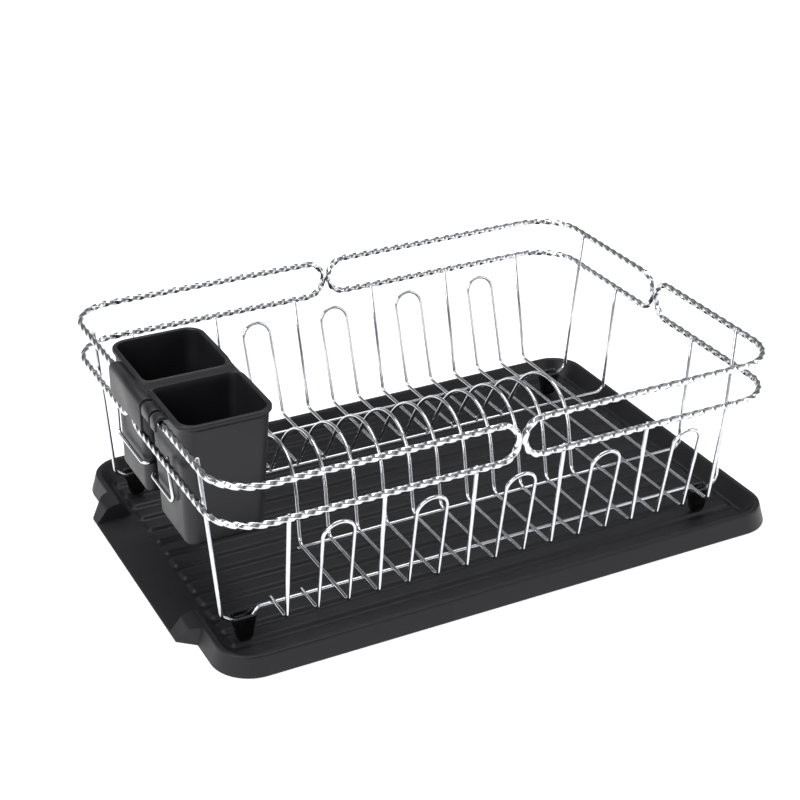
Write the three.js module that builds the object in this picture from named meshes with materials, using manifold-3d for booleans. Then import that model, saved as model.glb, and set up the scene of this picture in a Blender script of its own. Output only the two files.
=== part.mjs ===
// Dish drying rack: a chrome wire basket with twisted rails, four plastic feet, a twin cutlery
// caddy hung on the left rail, and a ribbed drain tray with a pouring lip.
// Millimetres. +X along the tray away from the lip, +Y to the back, +Z up.
import * as THREE from 'three';
import { mergeVertices } from 'three/addons/utils/BufferGeometryUtils.js';
import Module from 'manifold-3d';

const wasm = await Module();
wasm.setup();

// ---- driving dimensions ----
const gap = 0.3;                 // left between pieces that touch or are welded

// drain tray
const trayLength = 456;
const trayWidth = 309;
const trayHeight = 15;
const trayCorner = 30;           // radius in plan, at the underside
const trayDraft = 4.5;           // how far the outer wall leans in from bottom to rim
const rimWidth = 3.5;
const innerRun = 9;              // how far the inner wall runs in from rim to floor
const floorThickness = 2.5;
const skinThickness = 2.5;       // of the wall, open underneath
const ribHeight = 2.5;
const ribWidth = 16;
const ribShoulder = 3.3;         // run of a rib's slope from foot to crest
const ribCorner = 5;
const ribPitch = 18.5;
const ribEndInset = 17.5;         // from the outer bottom edge to the end of a rib
const lipReach = 12;             // pouring lip, past the wall
const lipTaper = 10.5;           // the lip is this much narrower at each end than the mouth's outside
const mouthHalf = 79;            // half the mouth's width
const cheekThickness = 21;       // where a cheek leaves the wall
const cheekCrestReach = 3.6;     // how far past the wall a cheek stays high
const cheekCrestHeight = 12;
const cheekTipHeight = 3;

// where the basket stands in the tray, from the tray's centre
const basketX = -10;
const basketY = -4.5;

// rails
const railBar = 5;               // across the corners of the twisted bar
const railHalfLength = 217;      // to the bar's centre line
const railHalfWidth = 154;
const railCorner = 33;
const upperRailZ = 149.8;
const lowerRailZ = 121.2;
const frontWeldX = 0;            // where the left and right rails meet at the front
const backWeldX = -3;            // and at the back
const rightWeldY = 4;            // where the front and back rails meet on the right
const leftWeldY = 16;            // and on the left, under the caddy's hooks

// wires
const baseWire = 3;
const postWire = 3;
const loopWire = 2.6;
const supportWire = 2.6;
const crossPitch = 23;
const firstCrossX = -144;        // cross wire 0
const crossCornerY = 134.7;      // outer bottom corners of the cross wires
const outerBaseY = 109.6;
const innerBaseY = 55;
const baseZ = 28.4;
const hoopTopZ = 108;
const hoopTopY = 153;
const archTopZ = 87;
const archRadius = 43;           // of the round top between two straight legs
const archFootInset = 1.5;       // an arch's legs stand just inside the inner base wires
const archLean = 8;              // how far the arches' tops lean away from the caddy
const sideLean = -3;             // how far the tops of posts and hoops lean towards the caddy
const bottomBend = 5;
const footBend = 8;              // where an arch meets the bottom
const riserBend = 7;
const riserLean = 9;             // an outer base wire leans out this much from its bottom corner to the rail
const riserDrift = 4.6;          // and this much towards the middle of the side
const innerRiserLean = 5.5;
const innerRiserDrift = 2;
const postTopPast = 3;           // a post or riser reaches this far past its rail's centre
const stubPast = 3;              // a stub reaches this far past the outer base wire

// feet
const footX = 188.5;
const footHeight = 21;
const footTop = { x: 18, y: 10 };
const footBase = { x: 11, y: 7.5 };
const footSlotFloor = 13.2;      // height of the wire slot's floor inside a foot
const dipHalf = 4.5;             // half the level run of the base wire in a foot
const dipRamp = 6.5;             // the slope from there up to the level of the base
const dipBend = 4;

// cutlery caddy
const caddyY = 0.5;              // middle of the bridge between the cups
const caddyHalfLength = 75;
const caddyRight = -142.9;       // right edge of the rim
const caddyRimZ = 156;
const caddyBaseZ = 60;
const rimBead = 1.9;             // rim stands this far past the cup's wall
const cupWall = 1.8;
const cupFloor = 2.2;
const cupCorner = 12;
const bridgeHalf = 4.5;          // half the open space between the two cups, under the bridge
const bridgeDrop = 2.2;          // the bridge lies below the rim
const bridgeThickness = 2;
const cupDraftEnd = 3;           // how far each wall leans in from rim to base
const cupDraftInner = 8;
const cupDraftRight = 7.5;
const cupDraftLeft = 0.8;
const hooks = [[-19.5, 45, 131], [-37.5, -23, 146], [-49.5, -40.5, 144.5]];   // from y, to y, down to z
const hookThickness = 2;
const hookPlay = 1;              // between the rail and a hook's skirt

// caddy support wire
const supportBackY = 60.5;
const supportFrontY = -53.5;
const supportFrontTopY = -45;
const supportZ = 89;
const supportNook = 8;           // half the width of its step in between the cups
const supportReach = 26;
const supportBend = 5;

// ---- worked out ----
const ribTopZ = floorThickness + ribHeight;
const footZ = ribTopZ + gap;
const crossZ = baseZ + (baseWire + postWire) / 2 + gap;
const railGap = (railBar + gap) / 2;
const postInset = (railBar + postWire) / 2 + gap;
const trayLeft = -basketX - trayLength / 2;
const trayRight = -basketX + trayLength / 2;
const trayMidY = -basketY;

// ---- materials ----
const chrome = () => new THREE.MeshStandardMaterial({ color: 0xd8dadd, metalness: 1, roughness: 0.18 });
const mattePlastic = () => new THREE.MeshStandardMaterial({ color: 0x232226, metalness: 0, roughness: 0.55 });
const glossPlastic = () => new THREE.MeshStandardMaterial({ color: 0x0b0b0c, metalness: 0, roughness: 0.25 });

// ---- solids ----
function toSolid(geometry) {
  const bare = geometry.clone();
  bare.deleteAttribute('normal');
  bare.deleteAttribute('uv');
  const merged = mergeVertices(bare, 1e-4);
  return new wasm.Manifold(new wasm.Mesh({
    numProp: 3,
    vertProperties: new Float32Array(merged.attributes.position.array),
    triVerts: new Uint32Array(merged.index.array),
  }));
}

function toGeometry(solid) {
  const mesh = solid.getMesh();
  const geometry = new THREE.BufferGeometry();
  geometry.setAttribute('position', new THREE.BufferAttribute(mesh.vertProperties, 3));
  geometry.setIndex(new THREE.BufferAttribute(mesh.triVerts, 1));
  geometry.computeVertexNormals();
  return geometry;
}

// outline of a rounded rectangle from (x0, y0) to (x1, y1), counter-clockwise
function roundedRect(x0, x1, y0, y1, radius, steps = 5) {
  const r = Math.max(0.2, Math.min(radius, (x1 - x0) / 2 - 0.1, (y1 - y0) / 2 - 0.1));
  const centres = [[x1 - r, y0 + r, -90], [x1 - r, y1 - r, 0], [x0 + r, y1 - r, 90], [x0 + r, y0 + r, 180]];
  const points = [];
  for (const [cx, cy, start] of centres) {
    for (let k = 0; k <= steps; k++) {
      const turn = THREE.MathUtils.degToRad(start + (90 * k) / steps);
      points.push([cx + r * Math.cos(turn), cy + r * Math.sin(turn)]);
    }
  }
  return points;
}

// closed solid between two outlines with the same number of points
function loft(low, lowZ, high, highZ) {
  const n = low.length;
  const positions = [];
  low.forEach(([x, y]) => positions.push(x, y, lowZ));
  high.forEach(([x, y]) => positions.push(x, y, highZ));
  const index = [];
  for (let k = 0; k < n; k++) {
    const next = (k + 1) % n;
    index.push(k, next, n + next, k, n + next, n + k);
  }
  const flat = low.map(([x, y]) => new THREE.Vector2(x, y));
  const top = high.map(([x, y]) => new THREE.Vector2(x, y));
  THREE.ShapeUtils.triangulateShape(flat, []).forEach(([a, b, c]) => index.push(a, c, b));
  THREE.ShapeUtils.triangulateShape(top, []).forEach(([a, b, c]) => index.push(n + a, n + b, n + c));
  const geometry = new THREE.BufferGeometry();
  geometry.setAttribute('position', new THREE.Float32BufferAttribute(positions, 3));
  geometry.setIndex(index);
  return geometry;
}

const prism = (outline, lowZ, highZ) => loft(outline, lowZ, outline, highZ);

function block(x0, x1, y0, y1, z0, z1) {
  const box = new THREE.BoxGeometry(x1 - x0, y1 - y0, z1 - z0);
  box.translate((x0 + x1) / 2, (y0 + y1) / 2, (z0 + z1) / 2);
  return toSolid(box);
}

// ---- wires ----
// a polyline through corners, each [x, y, z, bend radius], with its corners rounded
function bend(corners, closed = false, stepDegrees = 26) {
  const points = [];
  const n = corners.length;
  corners.forEach(([x, y, z, radius = 0], k) => {
    const here = new THREE.Vector3(x, y, z);
    if (!closed && (k === 0 || k === n - 1)) {
      points.push(here);
      return;
    }
    const before = new THREE.Vector3(...corners[(k + n - 1) % n].slice(0, 3)).sub(here);
    const after = new THREE.Vector3(...corners[(k + 1) % n].slice(0, 3)).sub(here);
    const u = before.clone().normalize();
    const v = after.clone().normalize();
    const open = u.angleTo(v);
    const turn = Math.PI - open;
    if (radius === 0 || turn < 1e-3) {
      points.push(here);
      return;
    }
    const back = radius / Math.tan(open / 2);
    const middle = u.clone().add(v).normalize().multiplyScalar(radius / Math.sin(open / 2)).add(here);
    const start = here.clone().addScaledVector(u, back).sub(middle);
    const axis = new THREE.Vector3().crossVectors(v, u).normalize();
    const steps = Math.max(2, Math.ceil(THREE.MathUtils.radToDeg(turn) / stepDegrees));
    for (let s = 0; s <= steps; s++) {
      points.push(start.clone().applyAxisAngle(axis, (turn * s) / steps).add(middle));
    }
  });
  return points.filter((p, k) => k === 0 || p.distanceTo(points[k - 1]) > 1e-3);
}

// a round bar along a polyline, mitred at each point
function bar(points, diameter, closed = false, sides = 6) {
  const n = points.length;
  const spans = closed ? n : n - 1;
  const ways = [];
  for (let k = 0; k < spans; k++) {
    ways.push(new THREE.Vector3().subVectors(points[(k + 1) % n], points[k]).normalize());
  }
  const seed = Math.abs(ways[0].z) < 0.8 ? new THREE.Vector3(0, 0, 1) : new THREE.Vector3(0, 1, 0);
  const across = [new THREE.Vector3().crossVectors(ways[0], seed).normalize()];
  for (let k = 1; k < spans; k++) {
    const turn = new THREE.Quaternion().setFromUnitVectors(ways[k - 1], ways[k]);
    across.push(across[k - 1].clone().applyQuaternion(turn));
  }
  let slip = 0;
  if (closed) {
    const turn = new THREE.Quaternion().setFromUnitVectors(ways[spans - 1], ways[0]);
    const last = across[spans - 1].clone().applyQuaternion(turn);
    const side = new THREE.Vector3().crossVectors(ways[0], across[0]);
    slip = -Math.atan2(last.dot(side), last.dot(across[0]));
  }
  const positions = [];
  for (let k = 0; k < n; k++) {
    const span = Math.min(k, spans - 1);
    const before = closed ? (k + spans - 1) % spans : Math.max(0, k - 1);
    const way = ways[span];
    const plane = way.clone().add(ways[before]).normalize();
    const first = across[span];
    const second = new THREE.Vector3().crossVectors(way, first);
    for (let s = 0; s < sides; s++) {
      const angle = (2 * Math.PI * (s + 0.5)) / sides + (slip * k) / n;
      const out = first.clone().multiplyScalar(Math.cos(angle)).addScaledVector(second, Math.sin(angle));
      out.multiplyScalar(diameter / 2);
      out.addScaledVector(way, -out.dot(plane) / way.dot(plane));
      positions.push(points[k].x + out.x, points[k].y + out.y, points[k].z + out.z);
    }
  }
  const index = [];
  for (let k = 0; k < spans; k++) {
    const from = k * sides;
    const to = ((k + 1) % n) * sides;
    for (let s = 0; s < sides; s++) {
      const next = (s + 1) % sides;
      index.push(from + s, from + next, to + next, from + s, to + next, to + s);
    }
  }
  if (!closed) {
    const end = (n - 1) * sides;
    for (let s = 1; s < sides - 1; s++) {
      index.push(0, s + 1, s, end, end + s, end + s + 1);
    }
  }
  const geometry = new THREE.BufferGeometry();
  geometry.setAttribute('position', new THREE.Float32BufferAttribute(positions, 3));
  geometry.setIndex(index);
  geometry.computeVertexNormals();
  return geometry;
}

// ---- drain tray ----
// the tray's outline, drawn in from its underside's edge by inset
function trayOutline(inset) {
  return roundedRect(trayLeft + inset, trayRight - inset, trayMidY - trayWidth / 2 + inset,
    trayMidY + trayWidth / 2 - inset, trayCorner - inset, 6);
}

// a plan from inside the floor out to the lip, half wide at the wall and narrower by taper at the lip
function mouthOutline(half, taper) {
  const inside = trayLeft + trayDraft + rimWidth + innerRun;
  const outside = trayLeft - lipReach;
  const outline = [[inside, -half], [inside, half], [trayLeft, half], [outside, half - taper],
    [outside, taper - half], [trayLeft, -half]];
  return outline.map(([x, y]) => [x, trayMidY + y]);
}

// the ear that closes one side of the mouth: rim height at the wall, a crest past it, low at the lip's tip
function cheek(side) {
  const rimX = trayLeft + trayDraft + rimWidth;
  const tipX = trayLeft - lipReach;
  const outer = mouthHalf + cheekThickness;
  const plan = [[rimX, mouthHalf], [trayLeft - cheekCrestReach, mouthHalf], [tipX, mouthHalf],
    [tipX, outer - lipTaper], [trayLeft, outer], [rimX, outer]];
  const heights = [trayHeight, cheekCrestHeight, cheekTipHeight, cheekTipHeight, cheekCrestHeight, trayHeight];
  const outline = plan.map(([x, y]) => [x, trayMidY + side * y]);
  const clockwise = THREE.ShapeUtils.isClockWise(outline.map(([x, y]) => new THREE.Vector2(x, y)));
  const order = clockwise ? outline.slice().reverse() : outline;
  const tops = clockwise ? heights.slice().reverse() : heights;
  const geometry = prism(order, 0, 1);
  const position = geometry.attributes.position;
  tops.forEach((z, k) => position.setZ(order.length + k, z));
  return toSolid(geometry);
}

function drainTray() {
  const top = trayDraft;
  let tray = toSolid(loft(trayOutline(0), 0, trayOutline(top), trayHeight));
  const basin = loft(trayOutline(top + rimWidth + innerRun), floorThickness, trayOutline(top + rimWidth), trayHeight);
  const above = prism(trayOutline(top + rimWidth), trayHeight - 0.01, trayHeight + 5);
  tray = tray.subtract(toSolid(basin)).subtract(toSolid(above));

  // the wall is a thin skin: it is hollow from below between its two faces
  const hollowTop = trayHeight - skinThickness;
  const hollowOuter = loft(trayOutline(skinThickness), -1, trayOutline(top + rimWidth / 2 - 0.4), hollowTop);
  const hollowInner = loft(trayOutline(top + rimWidth + innerRun + 1), -1.01, trayOutline(top + rimWidth / 2 + 0.4),
    hollowTop + 0.01);
  const keepFloor = prism(trayOutline(top + rimWidth + innerRun), -2, 0.01);
  const hollow = toSolid(hollowOuter).subtract(toSolid(hollowInner)).subtract(toSolid(keepFloor));
  const mouthBlock = toSolid(prism(mouthOutline(mouthHalf + cheekThickness + 1, 0), -2, trayHeight + 1));
  tray = tray.subtract(hollow.subtract(mouthBlock));

  // mouth and lip
  tray = tray.subtract(toSolid(prism(mouthOutline(mouthHalf, 0), floorThickness, trayHeight + 5)));
  tray = tray.add(toSolid(prism(mouthOutline(mouthHalf + cheekThickness, lipTaper), 0, floorThickness)));
  tray = tray.add(cheek(1)).add(cheek(-1));

  // ribs along X, with rounded shoulders, as many as the floor holds
  const floorHalf = trayWidth / 2 - top - rimWidth - innerRun;
  const ribs = Math.floor((floorHalf - ribWidth / 2) / ribPitch);
  const ribLeft = trayLeft + ribEndInset;
  const ribRight = trayRight - Math.max(ribEndInset, top + rimWidth + innerRun + 1.5);
  for (let k = -ribs; k <= ribs; k++) {
    const y = trayMidY + k * ribPitch;
    const foot = roundedRect(ribLeft, ribRight, y - ribWidth / 2, y + ribWidth / 2, ribCorner, 3);
    const crest = roundedRect(ribLeft + ribShoulder, ribRight - ribShoulder, y - ribWidth / 2 + ribShoulder,
      y + ribWidth / 2 - ribShoulder, ribCorner - ribShoulder, 3);
    tray = tray.add(toSolid(loft(foot, floorThickness - 0.2, crest, ribTopZ)));
  }
  return toGeometry(tray);
}

// ---- rails ----
// one loop of twisted bar: an upper and a lower run with round ends, bent round one corner of the basket
function railLoop(sideX, sideY) {
  const startX = sideX * (sideY < 0 ? frontWeldX : backWeldX);
  const endY = sideY * (sideX < 0 ? leftWeldY : rightWeldY);
  const straightX = railHalfLength - railCorner - startX;
  const arcLength = (railCorner * Math.PI) / 2;
  const armY = railHalfWidth - railCorner - endY;
  const total = straightX + arcLength + armY;
  // the point a length s along the run from the long side's weld, in plan
  const onPlan = (s, z) => {
    let x = startX + s;
    let y = railHalfWidth;
    if (s > straightX + arcLength) {
      x = railHalfLength;
      y = railHalfWidth - railCorner - (s - straightX - arcLength);
    } else if (s > straightX) {
      const turn = (s - straightX) / railCorner;
      x = railHalfLength - railCorner + railCorner * Math.sin(turn);
      y = railHalfWidth - railCorner + railCorner * Math.cos(turn);
    }
    return new THREE.Vector3(sideX * x, sideY * y, z);
  };
  const endRadius = (upperRailZ - lowerRailZ) / 2;
  const midZ = (upperRailZ + lowerRailZ) / 2;
  const nearEnd = railGap + endRadius;
  const farEnd = total - railGap - endRadius;
  const cornerSteps = 5;
  const endSteps = 8;
  const points = [];
  for (let k = 0; k <= cornerSteps; k++) {
    points.push(onPlan(straightX + (arcLength * k) / cornerSteps, upperRailZ));
  }
  for (let k = 0; k <= endSteps; k++) {
    const turn = (Math.PI * k) / endSteps;
    points.push(onPlan(farEnd + endRadius * Math.sin(turn), midZ + endRadius * Math.cos(turn)));
  }
  for (let k = cornerSteps; k >= 0; k--) {
    points.push(onPlan(straightX + (arcLength * k) / cornerSteps, lowerRailZ));
  }
  for (let k = 0; k <= endSteps; k++) {
    const turn = (Math.PI * k) / endSteps;
    points.push(onPlan(nearEnd - endRadius * Math.sin(turn), midZ - endRadius * Math.cos(turn)));
  }
  return bar(points, railBar, true);
}

// ---- base wires ----
// outer base wire: dips into a foot at each end, then turns up inside the rails
function outerBase(side) {
  const y = side * outerBaseY;
  const topY = side * (outerBaseY - riserDrift);
  const inside = railHalfLength - (railBar + baseWire) / 2 - gap;
  const dipZ = footZ + footSlotFloor + baseWire / 2 + gap;
  const half = (sign) => [
    [sign * inside, topY, upperRailZ + postTopPast],
    [sign * (inside - riserLean), y, baseZ, riserBend],
    [sign * (footX + dipHalf), y, dipZ, dipBend],
    [sign * (footX - dipHalf), y, dipZ, dipBend],
    [sign * (footX - dipHalf - dipRamp), y, baseZ, dipBend],
  ];
  return bar(bend(half(-1).concat(half(1).reverse())), baseWire);
}

// inner base wire: starts under the first arch and turns up to the lower rail on the right
function innerBase(side) {
  const y = side * innerBaseY;
  const inside = railHalfLength - (railBar + baseWire) / 2 - gap;
  const left = firstCrossX + crossPitch - postWire;
  const corners = [[left, y, baseZ], [inside - innerRiserLean, y, baseZ, riserBend],
    [inside, side * (innerBaseY - innerRiserDrift), lowerRailZ + postTopPast]];
  return bar(bend(corners), baseWire);
}

// ---- cross wires ----
const crossX = (k) => firstCrossX + k * crossPitch;
const postTopY = railHalfWidth - postInset;

// the middle of a cross wire, from one side's arch foot to the other's; its legs touch the round top
function archRun(x, z, side) {
  const half = innerBaseY - archFootInset;
  const rise = archTopZ - archRadius - z;
  const slope = Math.acos(archRadius / Math.hypot(half, rise)) - Math.atan2(rise, half);
  const peak = half / Math.tan(slope);
  return [
    [x, side * half, z, footBend],
    [x + (archLean * peak) / (archTopZ - z), 0, z + peak, archRadius],
    [x, -side * half, z, footBend],
  ];
}

// a post wire: up to the lower rail at the front and the back
function postWireAt(k, hasArch) {
  const x = crossX(k);
  const corners = [
    [x + sideLean, -postTopY, lowerRailZ + postTopPast],
    [x, -crossCornerY, crossZ, bottomBend],
    ...(hasArch ? archRun(x, crossZ, -1) : []),
    [x, crossCornerY, crossZ, bottomBend],
    [x + sideLean, postTopY, lowerRailZ + postTopPast],
  ];
  return bar(bend(corners), postWire);
}

// the short post at the caddy's end: from the outer base wire out and up to the lower rail
function stubPost(side) {
  const x = crossX(-1);
  const corners = [
    [x, side * (outerBaseY - stubPast), crossZ],
    [x, side * crossCornerY, crossZ, bottomBend],
    [x + sideLean, side * postTopY, lowerRailZ + postTopPast],
  ];
  return bar(bend(corners), postWire);
}

// two neighbouring cross wires joined by a hoop at the front and the back, with or without arches;
// the pair by the caddy has only a stub for its left wire
function hoopWireAt(k, hasArch, leftIsStub = false) {
  const left = crossX(k);
  const right = crossX(k + 1);
  const round = crossPitch / 2 - 0.05;
  const z = crossZ - (postWire - loopWire) / 2;
  const hoop = (side, fromX, toX) => [
    [fromX, side * crossCornerY, z, bottomBend],
    [fromX + sideLean, side * hoopTopY, hoopTopZ, round],
    [toX + sideLean, side * hoopTopY, hoopTopZ, round],
    [toX, side * crossCornerY, z, bottomBend],
  ];
  const rightArch = hasArch ? archRun(right, z, -1) : [];
  const corners = [...hoop(-1, left, right), ...rightArch, ...hoop(1, right, left)];
  if (leftIsStub) {
    const stub = outerBaseY - stubPast;
    return bar(bend([[left, -stub, z], ...corners, [left, stub, z]]), loopWire);
  }
  const leftArch = hasArch ? archRun(left, z, 1) : [];
  return bar(bend([...corners, ...leftArch], true), loopWire, true);
}

// ---- feet ----
function foot(sideX, sideY) {
  const x = sideX * footX;
  const y = sideY * outerBaseY;
  const ring = (size, r) => roundedRect(x - size.x / 2, x + size.x / 2, y - size.y / 2, y + size.y / 2, r, 3);
  const mix = (t) => ({
    x: footBase.x + (footTop.x - footBase.x) * t,
    y: footBase.y + (footTop.y - footBase.y) * t,
  });
  const shoulder = 4;
  const toe = { x: footBase.x - 3, y: footBase.y - 2 };
  const low = loft(ring(toe, 1.5), footZ, ring(mix(shoulder / footHeight), 2), footZ + shoulder);
  const high = loft(ring(mix(shoulder / footHeight), 2), footZ + shoulder, ring(footTop, 2.5), footZ + footHeight);
  const slotHalf = baseWire / 2 + gap;
  const slot = block(x - footTop.x, x + footTop.x, y - slotHalf, y + slotHalf, footZ + footSlotFloor,
    footZ + footHeight + 1);
  return toGeometry(toSolid(low).add(toSolid(high)).subtract(slot));
}

// ---- cutlery caddy ----
function cutleryCaddy() {
  const underRim = upperRailZ + railBar / 2 + gap;
  const wallLeft = -railHalfLength + railBar / 2 + supportWire + 2 * gap;
  const wallRight = caddyRight - rimBead;
  const wallEnd = caddyHalfLength - rimBead;
  // one cup's outline at the rim (t = 1) or at its base (t = 0), drawn in by inset
  const cupOutline = (side, t, inset) => {
    const inner = bridgeHalf + cupDraftInner * (1 - t) + inset;
    const outer = wallEnd - cupDraftEnd * (1 - t) - inset;
    const y0 = side > 0 ? caddyY + inner : caddyY - outer;
    const y1 = side > 0 ? caddyY + outer : caddyY - inner;
    return roundedRect(wallLeft + cupDraftLeft * (1 - t) + inset, wallRight - cupDraftRight * (1 - t) - inset,
      y0, y1, cupCorner - 3 * (1 - t) - inset);
  };
  const low = cupFloor / (caddyRimZ - caddyBaseZ);
  const cupShell = (side) => toSolid(loft(cupOutline(side, 0, 0), caddyBaseZ, cupOutline(side, 1, 0), caddyRimZ));
  const cupHollow = (side) => toSolid(loft(cupOutline(side, low, cupWall), caddyBaseZ + cupFloor,
    cupOutline(side, 1, cupWall), caddyRimZ + 0.01));
  const rim = roundedRect(wallLeft - rimBead, caddyRight, caddyY - caddyHalfLength, caddyY + caddyHalfLength,
    cupCorner + rimBead);
  let caddy = toSolid(prism(rim, underRim, caddyRimZ)).add(cupShell(-1)).add(cupShell(1));

  // the bridge lies a little lower than the rim
  const bridgeZ = caddyRimZ - bridgeDrop;
  const bridgeEdge = bridgeHalf + cupWall;
  caddy = caddy.add(block(wallLeft, wallRight, caddyY - bridgeEdge, caddyY + bridgeEdge, bridgeZ - bridgeThickness,
    bridgeZ));
  caddy = caddy.subtract(block(wallLeft + cupWall, wallRight - cupWall, caddyY - bridgeEdge - cupCorner / 2,
    caddyY + bridgeEdge + cupCorner / 2, bridgeZ, caddyRimZ + 1));

  // hooks: a shelf over the upper rail with a skirt outside it
  const skirtInside = -railHalfLength - railBar / 2 - hookPlay;
  const skirtOutside = skirtInside - hookThickness;
  const shelfTop = underRim + hookThickness;
  for (const [fromY, toY, bottomZ] of hooks) {
    caddy = caddy.add(block(skirtOutside, wallLeft, fromY, toY, underRim, shelfTop));
    caddy = caddy.add(block(skirtOutside, skirtInside, fromY, toY, bottomZ, shelfTop));
  }
  return toGeometry(caddy.subtract(cupHollow(-1)).subtract(cupHollow(1)));
}

// wire below the left lower rail that the caddy leans on, stepping in between its cups
function caddySupport() {
  const x = -railHalfLength + (railBar + supportWire) / 2 + gap;
  const corners = [
    [x, supportBackY, lowerRailZ + postTopPast],
    [x, supportBackY, supportZ, supportBend],
    [x, caddyY + supportNook, supportZ, supportBend],
    [x + supportReach, caddyY + supportNook, supportZ, supportBend],
    [x + supportReach, caddyY - supportNook, supportZ, supportBend],
    [x, caddyY - supportNook, supportZ, supportBend],
    [x, supportFrontY, supportZ, supportBend],
    [x, supportFrontTopY, lowerRailZ + postTopPast],
  ];
  return bar(bend(corners), supportWire);
}

// ---- assembly ----
const group = new THREE.Group();

function addPiece(name, geometry, material) {
  const mesh = new THREE.Mesh(geometry, material);
  mesh.name = name;
  group.add(mesh);
}

addPiece('drain_tray', drainTray(), mattePlastic());
for (const [name, sideX, sideY] of [['front_left', -1, -1], ['front_right', 1, -1], ['back_left', -1, 1],
  ['back_right', 1, 1]]) {
  addPiece(`rail_${name}`, railLoop(sideX, sideY), chrome());
  addPiece(`foot_${name}`, foot(sideX, sideY), glossPlastic());
}
addPiece('base_wire_outer_front', outerBase(-1), chrome());
addPiece('base_wire_outer_back', outerBase(1), chrome());
addPiece('base_wire_inner_front', innerBase(-1), chrome());
addPiece('base_wire_inner_back', innerBase(1), chrome());
addPiece('post_stub_front', stubPost(-1), chrome());
addPiece('post_stub_back', stubPost(1), chrome());
[2, 5, 8, 11, 14].forEach((k, order) => addPiece(`post_wire_${order + 1}`, postWireAt(k, k < 12), chrome()));
addPiece('hoop_wire_1', hoopWireAt(0, true, true), chrome());
[3, 6, 9, 12].forEach((k, order) => addPiece(`hoop_wire_${order + 2}`, hoopWireAt(k, k < 12), chrome()));
addPiece('caddy_support_wire', caddySupport(), chrome());
addPiece('cutlery_caddy', cutleryCaddy(), mattePlastic());

// stand the whole on the middle of its own box
const middle = new THREE.Box3().setFromObject(group, true).getCenter(new THREE.Vector3());
group.position.set(-middle.x, -middle.y, 0);
group.updateMatrixWorld(true);

export default group;
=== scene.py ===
import bpy
import numpy as np
from mathutils import Matrix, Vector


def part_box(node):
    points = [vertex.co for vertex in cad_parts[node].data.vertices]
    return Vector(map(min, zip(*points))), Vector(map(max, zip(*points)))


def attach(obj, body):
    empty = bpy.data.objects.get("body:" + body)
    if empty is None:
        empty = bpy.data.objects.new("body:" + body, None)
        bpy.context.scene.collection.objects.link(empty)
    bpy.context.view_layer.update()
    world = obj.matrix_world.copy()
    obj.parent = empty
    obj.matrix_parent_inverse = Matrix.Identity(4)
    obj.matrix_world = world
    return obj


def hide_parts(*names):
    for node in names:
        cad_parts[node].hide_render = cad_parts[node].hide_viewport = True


# Dish drying rack: chrome wire basket with twisted rails, plastic feet, hung cutlery caddy, drain tray.
# Sizes in the dictionaries are millimetres; meshes are made in metres.
mm = 0.001

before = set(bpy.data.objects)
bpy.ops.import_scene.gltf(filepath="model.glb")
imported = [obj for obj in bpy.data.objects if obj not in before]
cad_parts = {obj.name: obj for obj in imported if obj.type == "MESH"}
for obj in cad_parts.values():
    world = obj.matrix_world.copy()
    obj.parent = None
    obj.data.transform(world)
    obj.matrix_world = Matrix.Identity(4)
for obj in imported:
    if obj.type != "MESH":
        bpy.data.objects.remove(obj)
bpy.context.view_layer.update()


def unit(vectors):
    # each vector over its own length
    return vectors / np.linalg.norm(vectors, axis=-1, keepdims=True)


def boxOf(*nodes):
    # lowest and highest corner of several CAD nodes together, in mm
    low = np.min([np.array(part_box(node)[0]) for node in nodes], axis=0)
    high = np.max([np.array(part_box(node)[1]) for node in nodes], axis=0)
    return low / mm, high / mm


corners = ["front_left", "front_right", "back_left", "back_right"]
railLow, railHigh = boxOf(*["rail_" + corner for corner in corners])
rackMid = np.array([(railLow[0] + railHigh[0]) / 2, (railLow[1] + railHigh[1]) / 2, 0.0])


def makeMesh(name, points, quads, polygons=(), sharpAngle=35):
    # points (n, 3) in mm; quads (m, 4) indices; polygons lists of indices
    mesh = bpy.data.meshes.new(name)
    loops = np.concatenate([np.asarray(quads).ravel()] + [np.asarray(p) for p in polygons]).astype(np.int32)
    sizes = np.array([4] * len(quads) + [len(p) for p in polygons], np.int32)
    mesh.vertices.add(len(points))
    mesh.vertices.foreach_set("co", (np.asarray(points) * mm).ravel())
    mesh.loops.add(len(loops))
    mesh.loops.foreach_set("vertex_index", loops)
    mesh.polygons.add(len(sizes))
    mesh.polygons.foreach_set("loop_start", np.concatenate([[0], np.cumsum(sizes)[:-1]]).astype(np.int32))
    mesh.update(calc_edges=True)
    mesh.validate()
    mesh.polygons.foreach_set("use_smooth", np.ones(len(mesh.polygons), bool))
    mesh.set_sharp_from_angle(angle=np.radians(sharpAngle))
    return mesh


def gridQuads(rows, columns, wrapRows=False, wrapColumns=False):
    # quads between neighbouring rows and columns of a grid of rows * columns points
    i = np.arange(rows if wrapRows else rows - 1)[:, None]
    j = np.arange(columns if wrapColumns else columns - 1)[None, :]
    here, across = i * columns + j, i * columns + (j + 1) % columns
    below, beyond = (i + 1) % rows * columns + j, (i + 1) % rows * columns + (j + 1) % columns
    return np.stack([here, across, beyond, below], -1).reshape(-1, 4)


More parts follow.
